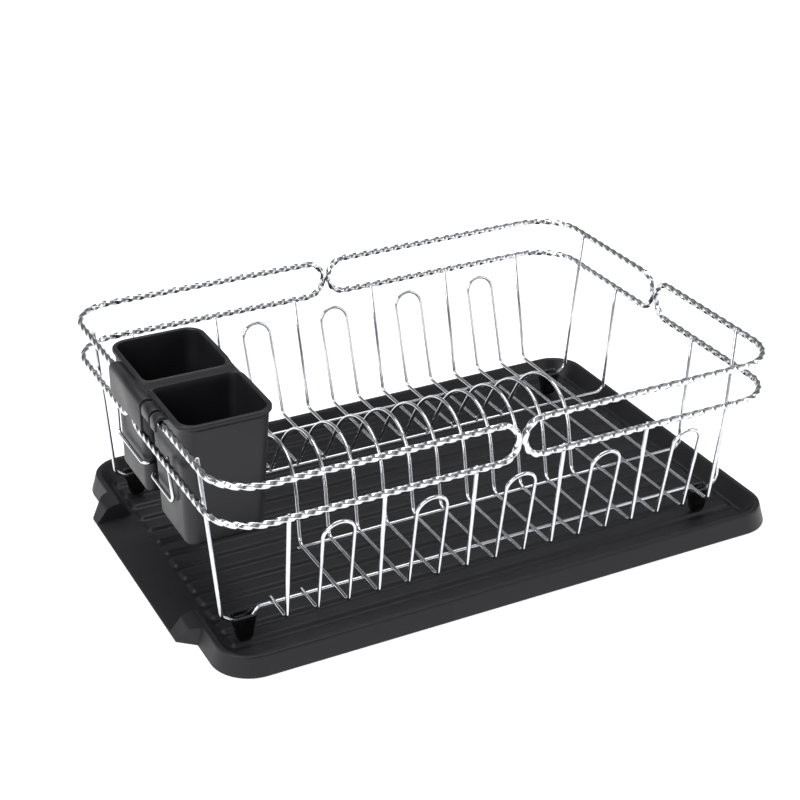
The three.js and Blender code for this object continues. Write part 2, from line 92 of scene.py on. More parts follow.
def bendPath(stops, stepDegrees=7.0):
    # straight runs joined by round bends; each stop is x, y, z and the bend's radius there
    runs = []
    for k, (x, y, z, radius) in enumerate(stops):
        here = np.array((x, y, z), float)
        if radius == 0:
            runs.append(here[None])
            continue
        toBefore = unit(np.array(stops[k - 1][:3]) - here)
        toAfter = unit(np.array(stops[(k + 1) % len(stops)][:3]) - here)
        half = np.arccos(np.clip(toBefore @ toAfter, -1, 1)) / 2
        turn = np.pi - 2 * half
        middle = here + unit(toBefore + toAfter) * radius / np.sin(half)
        start = here + toBefore * radius / np.tan(half) - middle
        axis = unit(np.cross(toAfter, toBefore))
        angles = np.linspace(0, turn, max(3, int(np.degrees(turn) / stepDegrees) + 2))[:, None]
        runs.append(middle + start * np.cos(angles) + np.cross(axis, start) * np.sin(angles))
    return np.vstack(runs)


def evenPath(points, step, closed):
    # the same path with points a fixed step apart
    ring = np.vstack([points, points[:1]]) if closed else points
    travel = np.concatenate([[0], np.cumsum(np.linalg.norm(np.diff(ring, axis=0), axis=1))])
    count = int(round(travel[-1] / step))
    wanted = np.linspace(0, travel[-1], count + 1)[:-1 if closed else None]
    return np.stack([np.interp(wanted, travel, ring[:, axis]) for axis in range(3)], -1), travel[-1]


def carriedFrames(points, closed):
    # tangent, side and up at each point; the side is carried along without twisting
    if closed:
        tangents = unit(np.roll(points, -1, 0) - np.roll(points, 1, 0))
    else:
        ways = unit(np.diff(points, axis=0))
        tangents = unit(np.vstack([ways[:1], ways[:-1] + ways[1:], ways[-1:]]))
    helper = np.array([0.0, 0.0, 1.0]) if abs(tangents[0, 2]) < 0.8 else np.array([0.0, 1.0, 0.0])
    sides = np.empty_like(points)
    sides[0] = unit(np.cross(tangents[0], helper))
    for k in range(1, len(points)):
        sides[k] = unit(sides[k - 1] - tangents[k] * (sides[k - 1] @ tangents[k]))
    slip = 0.0
    if closed:
        last = unit(sides[-1] - tangents[0] * (sides[-1] @ tangents[0]))
        slip = -np.arctan2(last @ np.cross(tangents[0], sides[0]), last @ sides[0])
    return tangents, sides, np.cross(tangents, sides), slip


def sweptBar(name, points, section, closed=False, twist=0.0, endRound=0.45):
    # a section carried along a path, turned by twist in all; open ends are drawn in a little
    swell = np.ones(len(points))
    if not closed:
        ways = unit(np.vstack([points[1] - points[0], points[-2] - points[-1]]))
        points = np.vstack([points[:1], points[:1] + ways[0] * endRound, points[1:-1],
                            points[-1:] + ways[1] * endRound, points[-1:]])
        swell = np.concatenate([[0.68], np.ones(len(points) - 2), [0.68]])
    tangents, sides, ups, slip = carriedFrames(points, closed)
    spin = ((twist + slip) * np.arange(len(points)) / len(points))[:, None, None]
    u = sides[:, None] * np.cos(spin) + ups[:, None] * np.sin(spin)
    v = ups[:, None] * np.cos(spin) - sides[:, None] * np.sin(spin)
    scaled = section[None] * swell[:, None, None]
    surface = points[:, None] + u * scaled[..., :1] + v * scaled[..., 1:]
    count, sidesCount = len(points), len(section)
    quads = gridQuads(count, sidesCount, closed, True)
    ends = [] if closed else [np.arange(sidesCount)[::-1], np.arange(sidesCount) + (count - 1) * sidesCount]
    return makeMesh(name, surface.reshape(-1, 3) + rackMid, quads, ends, 50)


def roundSection(diameter, sides=14):
    # points round a circle
    turn = np.arange(sides) * 2 * np.pi / sides
    return np.stack([np.cos(turn), np.sin(turn)], -1) * diameter / 2


def squareSection(across, softness, perCorner=5):
    # a square with round corners, measured across its corners
    half = across / 2 / np.sqrt(2) + softness * (1 - 1 / np.sqrt(2))
    turn = np.radians(np.arange(4)[:, None] * 90 + np.linspace(0, 90, perCorner)[None])
    middle = np.sign(np.stack([np.cos(turn[:, 2]), np.sin(turn[:, 2])], -1)) * (half - softness)
    return (middle[:, None] + softness * np.stack([np.cos(turn), np.sin(turn)], -1)).reshape(-1, 2)


def addPiece(name, mesh, material, body, slotName, *nodes):
    # puts a mesh in the scene as the piece that stands for some CAD nodes
    piece = bpy.data.objects.new(name, mesh)
    bpy.context.scene.collection.objects.link(piece)
    mesh.materials.append(material)
    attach(piece, body)
    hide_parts(*nodes)
    return piece


def newGroup(name, inputs, outputs):
    # a shader node group with float inputs (name, value) and float outputs; returns it with its two ends
    group = bpy.data.node_groups.new(name, "ShaderNodeTree")
    group.interface.new_socket("Vector", in_out="INPUT", socket_type="NodeSocketVector")
    for label, value in inputs:
        socket = group.interface.new_socket(label, in_out="INPUT", socket_type="NodeSocketFloat")
        socket.default_value = value
    for label in outputs:
        group.interface.new_socket(label, in_out="OUTPUT", socket_type="NodeSocketFloat")
    return group, group.nodes.new("NodeGroupInput"), group.nodes.new("NodeGroupOutput")


def noiseNode(tree, scale, detail=3.0, roughness=0.5):
    node = tree.nodes.new("ShaderNodeTexNoise")
    node.inputs["Scale"].default_value = scale
    node.inputs["Detail"].default_value = detail
    node.inputs["Roughness"].default_value = roughness
    return node


def mathNode(tree, operation, first, second):
    # a math node whose inputs are sockets or numbers
    node = tree.nodes.new("ShaderNodeMath")
    node.operation = operation
    for k, value in enumerate((first, second)):
        if isinstance(value, (int, float)):
            node.inputs[k].default_value = value
        else:
            tree.links.new(value, node.inputs[k])
    return node.outputs[0]


def mappedRange(tree, value, fromLow, fromHigh, toLow, toHigh):
    # the value moved from one range to another, smoothly, clamped
    node = tree.nodes.new("ShaderNodeMapRange")
    node.interpolation_type = "SMOOTHSTEP"
    tree.links.new(value, node.inputs["Value"])
    for k, number in enumerate((fromLow, fromHigh, toLow, toHigh)):
        node.inputs[k + 1].default_value = number
    return node.outputs["Result"]


def mouldedGrain():
    # the skin of a moulding: fine spark-eroded grain, and slow patches of sheen
    group, source, sink = newGroup("moulded_grain", [("Grain Scale", 2600.0), ("Patch Scale", 22.0)],
                                   ["Height", "Patches", "Scuffs"])
    grain = noiseNode(group, 1.0, 2.0, 0.6)
    patches = noiseNode(group, 1.0, 4.0, 0.55)
    scuffs = noiseNode(group, 160.0, 6.0, 0.7)
    scuffs.inputs["Distortion"].default_value = 1.4
    for node in (grain, patches, scuffs):
        group.links.new(source.outputs["Vector"], node.inputs["Vector"])
    group.links.new(source.outputs["Grain Scale"], grain.inputs["Scale"])
    group.links.new(source.outputs["Patch Scale"], patches.inputs["Scale"])
    group.links.new(grain.outputs["Fac"], sink.inputs["Height"])
    group.links.new(mappedRange(group, patches.outputs["Fac"], 0.3, 0.7, 0, 1), sink.inputs["Patches"])
    group.links.new(mappedRange(group, scuffs.outputs["Fac"], 0.6, 0.75, 0, 1), sink.inputs["Scuffs"])
    return group


def platedSkin():
    # a plated surface: a slow ripple from the wire beneath, and dull water marks
    group, source, sink = newGroup("plated_skin", [("Ripple Scale", 320.0), ("Mark Scale", 70.0)],
                                   ["Height", "Marks"])
    ripple = noiseNode(group, 1.0, 2.0, 0.4)
    marks = noiseNode(group, 1.0, 5.0, 0.6)
    for node in (ripple, marks):
        group.links.new(source.outputs["Vector"], node.inputs["Vector"])
    group.links.new(source.outputs["Ripple Scale"], ripple.inputs["Scale"])
    group.links.new(source.outputs["Mark Scale"], marks.inputs["Scale"])
    group.links.new(ripple.outputs["Fac"], sink.inputs["Height"])
    group.links.new(mappedRange(group, marks.outputs["Fac"], 0.5, 0.72, 0, 1), sink.inputs["Marks"])
    return group


grainGroup = mouldedGrain()
platedGroup = platedSkin()


def newMaterial(name, group):
    # a material with one copy of a group on object coordinates
    material = bpy.data.materials.new(name)
    material.use_nodes = True
    tree = material.node_tree
    shader = tree.nodes["Principled BSDF"]
    coordinates = tree.nodes.new("ShaderNodeTexCoord")
    effect = tree.nodes.new("ShaderNodeGroup")
    effect.node_tree = group
    tree.links.new(coordinates.outputs["Object"], effect.inputs["Vector"])
    return material, tree, shader, effect


def blendColours(tree, mask, first, second):
    # first where the mask is 0, second where it is 1
    node = tree.nodes.new("ShaderNodeMix")
    node.data_type = "RGBA"
    tree.links.new(mask, node.inputs["Factor"])
    for socket, colour in ((node.inputs[6], first), (node.inputs[7], second)):
        if isinstance(colour, tuple):
            socket.default_value = (*colour, 1)
        else:
            tree.links.new(colour, socket)
    return node.outputs[2]


def addBump(tree, shader, height, strength, distance):
    # a bump of a fixed depth, in mm
    bump = tree.nodes.new("ShaderNodeBump")
    bump.inputs["Strength"].default_value = strength
    bump.inputs["Distance"].default_value = distance * mm
    tree.links.new(height, bump.inputs["Height"])
    tree.links.new(bump.outputs["Normal"], shader.inputs["Normal"])


def plasticMaterial(name, look):
    # moulded plastic: two close tones, patchy sheen, pale scuffs and a fine grain
    material, tree, shader, effect = newMaterial(name, grainGroup)
    effect.inputs["Grain Scale"].default_value = look["grainScale"]
    effect.inputs["Patch Scale"].default_value = look["patchScale"]
    body = blendColours(tree, effect.outputs["Patches"], look["tone"], look["toneB"])
    faint = mathNode(tree, "MULTIPLY", effect.outputs["Scuffs"], look["scuffs"])
    tree.links.new(blendColours(tree, faint, body, look["scuffTone"]), shader.inputs["Base Color"])
    low, high = look["roughness"]
    tree.links.new(mappedRange(tree, effect.outputs["Patches"], 0, 1, low, high),
                   shader.inputs["Roughness"])
    shader.inputs["IOR"].default_value = 1.49
    shader.inputs["Specular IOR Level"].default_value = look["specular"]
    shader.inputs["Coat Weight"].default_value = look["coat"]
    shader.inputs["Coat Roughness"].default_value = look["coatRoughness"]
    addBump(tree, shader, effect.outputs["Height"], look["bump"], 0.05)
    return material


def chromeMaterial(name, look):
    # bright nickel chrome plate with a slow ripple and a few dull water marks
    material, tree, shader, effect = newMaterial(name, platedGroup)
    effect.inputs["Ripple Scale"].default_value = look["rippleScale"]
    effect.inputs["Mark Scale"].default_value = look["markScale"]
    tree.links.new(blendColours(tree, effect.outputs["Marks"], look["tone"], look["markTone"]),
                   shader.inputs["Base Color"])
    low, high = look["roughness"]
    tree.links.new(mappedRange(tree, effect.outputs["Marks"], 0, 1, low, high), shader.inputs["Roughness"])
    shader.inputs["Metallic"].default_value = 1.0
    addBump(tree, shader, effect.outputs["Height"], look["bump"], 0.12)
    return material


trayPlastic = plasticMaterial("tray_plastic", dict(
    tone=(0.0092, 0.0088, 0.0108), toneB=(0.0112, 0.0108, 0.0128), scuffTone=(0.04, 0.04, 0.045),
    scuffs=0.1,
    roughness=(0.42, 0.5), specular=0.34, grainScale=2400.0, patchScale=20.0, bump=0.35,
    coat=0.0, coatRoughness=0.3))
caddyPlastic = plasticMaterial("caddy_plastic", dict(
    tone=(0.0105, 0.0100, 0.0125), toneB=(0.0125, 0.0120, 0.0145), scuffTone=(0.04, 0.04, 0.045),
    scuffs=0.1,
    roughness=(0.38, 0.46), specular=0.38, grainScale=2800.0, patchScale=30.0, bump=0.25,
    coat=0.0, coatRoughness=0.3))
footPlastic = plasticMaterial("foot_plastic", dict(
    tone=(0.002, 0.002, 0.0022), toneB=(0.003, 0.003, 0.0033), scuffTone=(0.04, 0.04, 0.042), scuffs=0.1,
    roughness=(0.2, 0.3), specular=0.5, grainScale=1500.0, patchScale=90.0, bump=0.1,
    coat=0.3, coatRoughness=0.12))
wireChrome = chromeMaterial("wire_chrome", dict(
    tone=(0.69, 0.70, 0.735), markTone=(0.56, 0.57, 0.61), roughness=(0.07, 0.2), rippleScale=260.0,
    markScale=60.0, bump=0.12))
railChrome = chromeMaterial("rail_chrome", dict(
    tone=(0.735, 0.745, 0.775), markTone=(0.60, 0.61, 0.65), roughness=(0.06, 0.18), rippleScale=420.0,
    markScale=80.0, bump=0.16))
print("materials made")


rail = dict(across=5.0, softness=0.85, halfLength=217, halfWidth=154, corner=33, upperZ=149.8, lowerZ=121.2,
            frontWeldX=0, backWeldX=-3, rightWeldY=4, leftWeldY=16, weldBite=0.25, quarterTurn=9.5,
            step=0.9)


def railPath(sideX, sideY):
    # a loop round one corner, from the long side's weld to the short side's: two runs with round ends
    startX = sideX * (rail["frontWeldX"] if sideY < 0 else rail["backWeldX"])
    endY = sideY * (rail["leftWeldY"] if sideX < 0 else rail["rightWeldY"])
    corner = rail["corner"]
    straight = rail["halfLength"] - corner - startX
    bent = corner * np.pi / 2
    total = straight + bent + rail["halfWidth"] - corner - endY
    endRadius = (rail["upperZ"] - rail["lowerZ"]) / 2
    midZ = (rail["upperZ"] + rail["lowerZ"]) / 2
    inset = (rail["across"] - rail["weldBite"]) / 2 + endRadius
    turn = np.linspace(0, np.pi, 40)
    forth = np.linspace(inset, total - inset, 260)
    s = np.concatenate([forth, total - inset + endRadius * np.sin(turn[1:-1]), forth[::-1],
                        inset - endRadius * np.sin(turn[1:-1])])
    z = np.concatenate([np.full(260, rail["upperZ"]), midZ + endRadius * np.cos(turn[1:-1]),
                        np.full(260, rail["lowerZ"]), midZ - endRadius * np.cos(turn[1:-1])])
    around = np.clip((s - straight) / corner, 0, np.pi / 2)
    x = np.where(s < straight, startX + s, rail["halfLength"] - corner + corner * np.sin(around))
    y = rail["halfWidth"] - corner + corner * np.cos(around) - np.maximum(s - straight - bent, 0)
    return np.stack([sideX * x, sideY * y, z], -1)


for name, sideX, sideY in zip(corners, (-1, 1, -1, 1), (-1, -1, 1, 1)):
    path, length = evenPath(railPath(sideX, sideY), rail["step"], True)
    quarterTurns = round(length / rail["quarterTurn"])
    mesh = sweptBar("twisted_rail_" + name, path, squareSection(rail["across"], rail["softness"]), True,
                    quarterTurns * np.pi / 2)
    addPiece("twisted_rail_" + name, mesh, railChrome, "rack", "chrome_wire", "rail_" + name)
print("rails made")


wire = dict(base=2.8, post=2.9, loop=2.7, support=2.7, pitch=23, firstX=-144, bottomZ=28.4, bite=0.2,
            cornerY=134.7, outerY=109.6, innerY=55, bottomBend=5, riserBend=7, footBend=8, stubPast=3,
            hoopTopZ=108, hoopTopY=153, archTopZ=87, archRadius=43, archFootInset=1.5, archLean=8,
            sideLean=-3, tipPast=1.0, riserPast=2.0, firstHoop=0, riserLean=9, riserDrift=4.6,
            innerLean=5.5, innerDrift=2)
crossZ = wire["bottomZ"] + (wire["base"] + wire["post"]) / 2 - wire["bite"]
postTopY = rail["halfWidth"] - rail["across"] / 2 - wire["post"] / 2 + 0.55
postTopZ = rail["lowerZ"] + wire["tipPast"]
riserX = rail["halfLength"] - rail["across"] / 2 - wire["base"] / 2 + 0.55


def crossX(k):
    return wire["firstX"] + k * wire["pitch"]


def archRun(x, z, side):
    # over the plates' middle: two straight legs that touch a round top, leaning away from the caddy
    half = wire["innerY"] - wire["archFootInset"]
    rise = wire["archTopZ"] - wire["archRadius"] - z
    slope = np.arccos(wire["archRadius"] / np.hypot(half, rise)) - np.arctan2(rise, half)
    peak = half / np.tan(slope)
    lean = wire["archLean"] * peak / (wire["archTopZ"] - z)
    return [(x, side * half, z, wire["footBend"]), (x + lean, 0, z + peak, wire["archRadius"]),
            (x, -side * half, z, wire["footBend"])]


def postWire(k, hasArch):
    x, top = crossX(k), crossX(k) + wire["sideLean"]
    arch = archRun(x, crossZ, -1) if hasArch else []
    return [(top, -postTopY, postTopZ, 0), (x, -wire["cornerY"], crossZ, wire["bottomBend"]), *arch,
            (x, wire["cornerY"], crossZ, wire["bottomBend"]), (top, postTopY, postTopZ, 0)]


def stubPost(side):
    x = crossX(-1)
    return [(x, side * (wire["outerY"] - wire["stubPast"]), crossZ, 0),
            (x, side * wire["cornerY"], crossZ, wire["bottomBend"]),
            (x + wire["sideLean"], side * postTopY, postTopZ, 0)]


def hoopWire(k, hasArch, leftIsStub):
    # two cross wires joined by a hoop at the front and the back
    left, right, lean = crossX(k), crossX(k + 1), wire["sideLean"]
    z = crossZ - (wire["post"] - wire["loop"]) / 2

    def hoop(side, fromX, toX):
        return [(fromX, side * wire["cornerY"], z, wire["bottomBend"]),
                (fromX + lean, side * wire["hoopTopY"], wire["hoopTopZ"], wire["pitch"] / 2 - 0.05),
                (toX + lean, side * wire["hoopTopY"], wire["hoopTopZ"], wire["pitch"] / 2 - 0.05),
                (toX, side * wire["cornerY"], z, wire["bottomBend"])]

    rightArch = archRun(right, z, -1) if hasArch else []
    stops = hoop(-1, left, right) + rightArch + hoop(1, right, left)
    if leftIsStub:
        stub = wire["outerY"] - wire["stubPast"]
        return [(left, -stub, z, 0)] + stops + [(left, stub, z, 0)]
    return stops + (archRun(left, z, 1) if hasArch else [])


feet = dict(x=188.5, y=109.6, slotFloor=13.2, height=21, topX=18, topY=10, baseX=11, baseY=7.5,
            shoulder=4, toe=3, wall=1.5, dipHalf=4.5, dipRamp=6.5, dipBend=4)
footLow = boxOf("foot_front_left")[0]
slotZ = footLow[2] + feet["slotFloor"]


def outerBase(side):
    # dips into a foot near each end, then turns up inside the rails
    y, dipZ, flat = side * wire["outerY"], slotZ + wire["base"] / 2 + 0.05, feet["dipHalf"]
    half = [(riserX, side * (wire["outerY"] - wire["riserDrift"]), rail["upperZ"] + wire["riserPast"], 0),
            (riserX - wire["riserLean"], y, wire["bottomZ"], wire["riserBend"]),
            (feet["x"] + flat, y, dipZ, feet["dipBend"]), (feet["x"] - flat, y, dipZ, feet["dipBend"]),
            (feet["x"] - flat - feet["dipRamp"], y, wire["bottomZ"], feet["dipBend"])]
    mirrored = [(-x, y2, z, radius) for x, y2, z, radius in half]
    return mirrored + half[::-1]


def innerBase(side):
    # from under the first arch to a riser on the right
    y = side * wire["innerY"]
    return [(crossX(1) - wire["post"], y, wire["bottomZ"], 0),
            (riserX - wire["innerLean"], y, wire["bottomZ"], wire["riserBend"]),
            (riserX, side * (wire["innerY"] - wire["innerDrift"]), postTopZ, 0)]


support = dict(backY=60.5, frontY=-53.5, frontTopY=-45, middleY=0.5, nook=8, reach=26, z=89, bend=5)


def supportWire():
    # below the left lower rail, with a step in between the caddy's cups
    x, mid, nook = -riserX, support["middleY"], support["nook"]
    deep, z, bend = x + support["reach"], support["z"], support["bend"]
    return [(x, support["backY"], postTopZ, 0), (x, support["backY"], z, bend), (x, mid + nook, z, bend),
            (deep, mid + nook, z, bend), (deep, mid - nook, z, bend), (x, mid - nook, z, bend),
            (x, support["frontY"], z, bend), (x, support["frontTopY"], postTopZ, 0)]


def addWire(name, stops, diameter, node, closed=False):
    mesh = sweptBar(name, bendPath(stops), roundSection(diameter), closed)
    addPiece(name, mesh, wireChrome, "rack", "chrome_wire", node)


for order, k in enumerate((2, 5, 8, 11, 14)):
    addWire(f"bright_post_{order + 1}", postWire(k, k < 12), wire["post"], f"post_wire_{order + 1}")
for order, k in enumerate((0, 3, 6, 9, 12)):
    isFirst = k == wire["firstHoop"]
    addWire(f"bright_hoop_{order + 1}", hoopWire(k, k < 12, isFirst), wire["loop"],
            f"hoop_wire_{order + 1}",
            not isFirst)
for side, label in ((-1, "front"), (1, "back")):
    addWire("bright_outer_base_" + label, outerBase(side), wire["base"], "base_wire_outer_" + label)
    addWire("bright_inner_base_" + label, innerBase(side), wire["base"], "base_wire_inner_" + label)
    addWire("bright_stub_" + label, stubPost(side), wire["post"], "post_stub_" + label)
addWire("bright_caddy_support", supportWire(), wire["support"], "caddy_support_wire")
print("wires made")


tray = dict(length=456, width=309, corner=30, edgeRun=17, floorZ=2.5, ribHeight=2.5, ribHalf=8,
            ribPitch=18.5, ribEnd=17.5, ribShoulder=3.6, ribCorner=5, lipReach=12, lipTaper=10.5,
            mouthHalf=79, cheek=21, skip=0.35)
# profiles from the floor's edge outwards and back underneath: run out from the edge, height
wallProfile = [(0, 2.5), (0.9, 2.62), (1.7, 3.2), (2.3, 4.0), (5.2, 8.6), (8.2, 13.2), (8.7, 14.0),
               (9.4, 14.7), (10.3, 15.0), (11.6, 15.0), (12.4, 14.75), (12.95, 14.1), (13.2, 13.2),
               (14.9, 7.0), (16.7, 0.9), (16.8, 0.3), (16.4, 0), (15.0, 0), (14.4, 0.3), (11.6, 12.0),
               (10.9, 12.3), (10.2, 12.0), (1.9, 0.8), (1.3, 0), (0, 0)]
cheekProfile = wallProfile[:10] + [(16, 14.2), (19.6, 12.9), (20.8, 12.0), (21.6, 10.8), (28.2, 3.0),
                                   (29, 1.9), (29, 0.5), (28.6, 0), (14.4, 0), (11.6, 0), (10.9, 0),
                                   (10.2, 0), (1.9, 0), (1.3, 0), (0, 0)]
lipProfile = [(0, 2.5), (2, 2.5), (4, 2.5), (6, 2.5), (8, 2.5), (10, 2.5), (11.5, 2.5), (13, 2.5),
              (14, 2.5), (15, 2.5), (16, 2.5), (17, 2.45), (21, 2.35), (25, 2.2), (28.3, 2.0), (29, 1.4),
              (29, 0.5)]
lipProfile += cheekProfile[17:]


def trayFloorHeight(x, y):
    # flat floor with raised bars along x, round at their ends and shoulders
    step = np.round(y / tray["ribPitch"])
    most = np.floor((tray["width"] / 2 - tray["edgeRun"] - tray["ribHalf"]) / tray["ribPitch"])
    offset = y - np.clip(step, -most, most) * tray["ribPitch"]
    halfX = tray["length"] / 2 - tray["ribEnd"] - tray["ribCorner"]
    halfY = tray["ribHalf"] - tray["ribCorner"]
    away = np.hypot(np.maximum(np.abs(x) - halfX, 0), np.maximum(np.abs(offset) - halfY, 0))
    rise = np.clip((tray["ribCorner"] - away) / tray["ribShoulder"], 0, 1)
    return tray["floorZ"] + tray["ribHeight"] * rise * rise * (3 - 2 * rise)


def roundCorners(x, y, halfX, halfY, radius):
    # a rectangle's grid with each corner square turned into a quarter disc
    u = np.clip((np.abs(x) - halfX + radius) / radius, 0, 1)
    v = np.clip((np.abs(y) - halfY + radius) / radius, 0, 1)
    big, small = np.maximum(u, v), np.minimum(u, v)
    turn = np.pi / 4 * np.divide(small, big, out=np.zeros_like(big), where=big > 0)
    along = np.where(u >= v, big * np.cos(turn), big * np.sin(turn))
    aside = np.where(u >= v, big * np.sin(turn), big * np.cos(turn))
    inside = (u > 0) & (v > 0)
    newX = np.where(inside, np.sign(x) * (halfX - radius + radius * along), x)
    newY = np.where(inside, np.sign(y) * (halfY - radius + radius * aside), y)
    return newX, newY


def trayMesh():
    # a ribbed floor on a grid; wall, rim, lip and underside are profiles carried round the floor's edge
    halfX, halfY = tray["length"] / 2 - tray["edgeRun"], tray["width"] / 2 - tray["edgeRun"]
    radius = tray["corner"] - tray["edgeRun"]
    mouth, cheek, skip = tray["mouthHalf"], tray["cheek"], tray["skip"]
    cheekLines = np.array([mouth, mouth + skip, mouth + cheek, mouth + cheek + skip])
    ribLines = np.arange(-7, 8)[:, None] * tray["ribPitch"] + np.linspace(-1, 1, 19)[None] * tray["ribHalf"]
    edgeLines = halfY - radius * np.linspace(0, 1, 9)
    yLines = np.unique(np.round(np.concatenate([ribLines.ravel(), cheekLines, -cheekLines, edgeLines,
                                                -edgeLines]), 3))
    yLines = yLines[np.abs(yLines) <= halfY]
    endLines = halfX - np.concatenate([np.linspace(0, radius, 15), [15, 18, 24, 32]])
    xLines = np.unique(np.concatenate([endLines, -endLines, np.linspace(-halfX + 45, halfX - 45, 21)]))
    x, y = roundCorners(*np.meshgrid(xLines, yLines, indexing="ij"), halfX, halfY, radius)
    rows, columns = x.shape
    floor = np.stack([x, y, trayFloorHeight(x, y)], -1).reshape(-1, 3)
    floorIndex = np.arange(rows * columns).reshape(rows, columns)
    edge = np.concatenate([floorIndex[:-1, 0], floorIndex[-1, :-1],
                           floorIndex[:0:-1, -1], floorIndex[0, :0:-1]])
    floor[edge, 2] = tray["floorZ"]
    rim = floor[edge]
    core = np.stack([np.clip(rim[:, 0], -halfX + radius, halfX - radius),
                     np.clip(rim[:, 1], -halfY + radius, halfY - radius)], -1)
    outward = rim[:, :2] - core
    onSide = np.abs(outward) > radius - 1e-3
    outward = np.where(onSide.any(1, keepdims=True), np.where(onSide, np.sign(outward), 0), outward)
    outward = unit(outward)
    aside = np.abs(rim[:, 1])
    atLip = (rim[:, 0] < -halfX + 1e-3) & (aside < mouth + cheek + skip / 2)
    profiles = np.where(atLip[:, None, None], np.array(cheekProfile)[None], np.array(wallProfile)[None])
    inMouth = atLip & (aside < mouth + skip / 2)
    profiles = np.where(inMouth[:, None, None], np.array(lipProfile)[None], profiles)
    run, height = profiles[..., 0].T, profiles[..., 1].T
    taper = np.clip((run - tray["edgeRun"]) / tray["lipReach"], 0, 1) * atLip
    shift = taper * tray["lipTaper"] * np.clip((aside - mouth) / cheek, 0, 1) * np.sign(rim[:, 1])
    rings = np.stack([rim[:, 0] + outward[:, 0] * run, rim[:, 1] + outward[:, 1] * run - shift, height], -1)
    count, around = rings.shape[:2]
    points = np.concatenate([floor, rings[1:].reshape(-1, 3), floor * (1, 1, 0)])
    wallIndex = rows * columns + np.arange((count - 1) * around).reshape(-1, around)
    ringIndex = np.concatenate([edge[None], wallIndex])
    below = rows * columns + (count - 1) * around
    ringIndex[-1] = below + edge
    after = np.roll(ringIndex, -1, 1)
    wall = np.stack([ringIndex[:-1], ringIndex[1:], after[1:], after[:-1]], -1).reshape(-1, 4)
    top = gridQuads(rows, columns)[:, ::-1]
    return points, np.concatenate([top, wall, top[:, ::-1] + below])


trayLow, trayHigh = boxOf("drain_tray")
trayMid = np.array([trayHigh[0] - tray["length"] / 2, (trayLow[1] + trayHigh[1]) / 2, 0])
trayPoints, trayQuads = trayMesh()
addPiece("ribbed_drain_tray", makeMesh("ribbed_drain_tray", trayPoints + trayMid, trayQuads, (), 32),
         trayPlastic, "tray", "tray_plastic", "drain_tray")
print("tray made")


def roundedRing(x0, x1, y0, y1, nearRadius, farRadius, perCorner=9, perEdge=7):
    # a rounded rectangle's points, counter-clockwise; near is the y0 side, far the y1 side
    points = []
    for cornerX, cornerY, start, radius in ((x1, y0, -90, nearRadius), (x1, y1, 0, farRadius),
                                            (x0, y1, 90, farRadius), (x0, y0, 180, nearRadius)):
        inward = np.sign([x0 + x1 - 2 * cornerX, y0 + y1 - 2 * cornerY])
        middle = np.array([cornerX, cornerY]) + radius * inward
        turn = np.radians(start + np.linspace(0, 90, perCorner))
        points.append(middle + radius * np.stack([np.cos(turn), np.sin(turn)], -1))
    edges = []
    for k, corner in enumerate(points):
        along = np.linspace(0, 1, perEdge + 2)[1:-1, None]
        edges += [corner, corner[-1] + (points[(k + 1) % 4][0] - corner[-1]) * along]
    return np.vstack(edges)


def stackedRings(rings, name, flip=False, sharpAngle=40):
    # a closed skin through rings of equal point counts, capped at both ends
    rings = np.asarray(rings)
    count, around = rings.shape[:2]
    quads = gridQuads(count, around, False, True)
    caps = [np.arange(around)[::-1], np.arange(around) + (count - 1) * around]
    if flip:
        quads, caps = quads[:, ::-1], [cap[::-1] for cap in caps]
    return makeMesh(name, rings.reshape(-1, 3), quads, caps, sharpAngle)


def footMesh(name, middle):
    # a tapered cap with round edges and a trough for the wire, notched at both ends
    low, height, wall = footLow[2], feet["height"], feet["wall"]
    half = np.array([feet["topX"], feet["topY"]]) / 2
    base = np.array([feet["baseX"], feet["baseY"]]) / 2
    profile = [(-feet["toe"] / 2 - 1.6, 0.0), (-feet["toe"] / 2, 0.25), (-0.75, 1.2), (-0.25, 2.4),
               (0, feet["shoulder"]), (0, height / 2), (0, height - 1.5), (-0.1, height - 0.6),
               (-0.4, height - 0.15), (-0.75, height), (-wall + 0.35, height), (-wall, height - 0.4),
               (-wall, height - 3), (-wall - 0.1, feet["slotFloor"] + 0.6),
               (-wall - 0.7, feet["slotFloor"])]
    rings = []
    for run, z in profile:
        size = base + (half - base) * min(z, height) / height + run
        radius = max(0.3, 2.6 + run)
        ring = roundedRing(-size[0], size[0], -size[1], size[1], radius, radius, 6, 9)
        atEnd = np.abs(ring[:, 0]) > size[0] - 1.2
        notch = np.clip((2.3 - np.abs(ring[:, 1])) / 0.9, 0, 1) * atEnd
        level = np.full(len(ring), z) - notch * max(0, z - feet["slotFloor"] - 2.2)
        rings.append(np.column_stack([ring + middle[:2], level + low]))
    return stackedRings(rings, name)


for name, sideX, sideY in zip(corners, (-1, 1, -1, 1), (-1, -1, 1, 1)):
    middle = rackMid + (sideX * feet["x"], sideY * feet["y"], 0)
    addPiece("wire_foot_" + name, footMesh("wire_foot_" + name, middle), footPlastic, "rack",
             "foot_plastic",
             "foot_" + name)
print("feet made")


caddy = dict(middleY=0.5, half=75, right=-142.9, left=-211.3, rimZ=156, baseZ=60, bead=1.9,
             beadHeight=3.4, wall=1.8, floor=2.2, corner=12, cornerByBridge=8, bridgeHalf=4.5,
             bridgeDrop=2.2, draftEnd=3, draftInner=8, draftRight=7.5, draftLeft=0.8, bottomFillet=5)


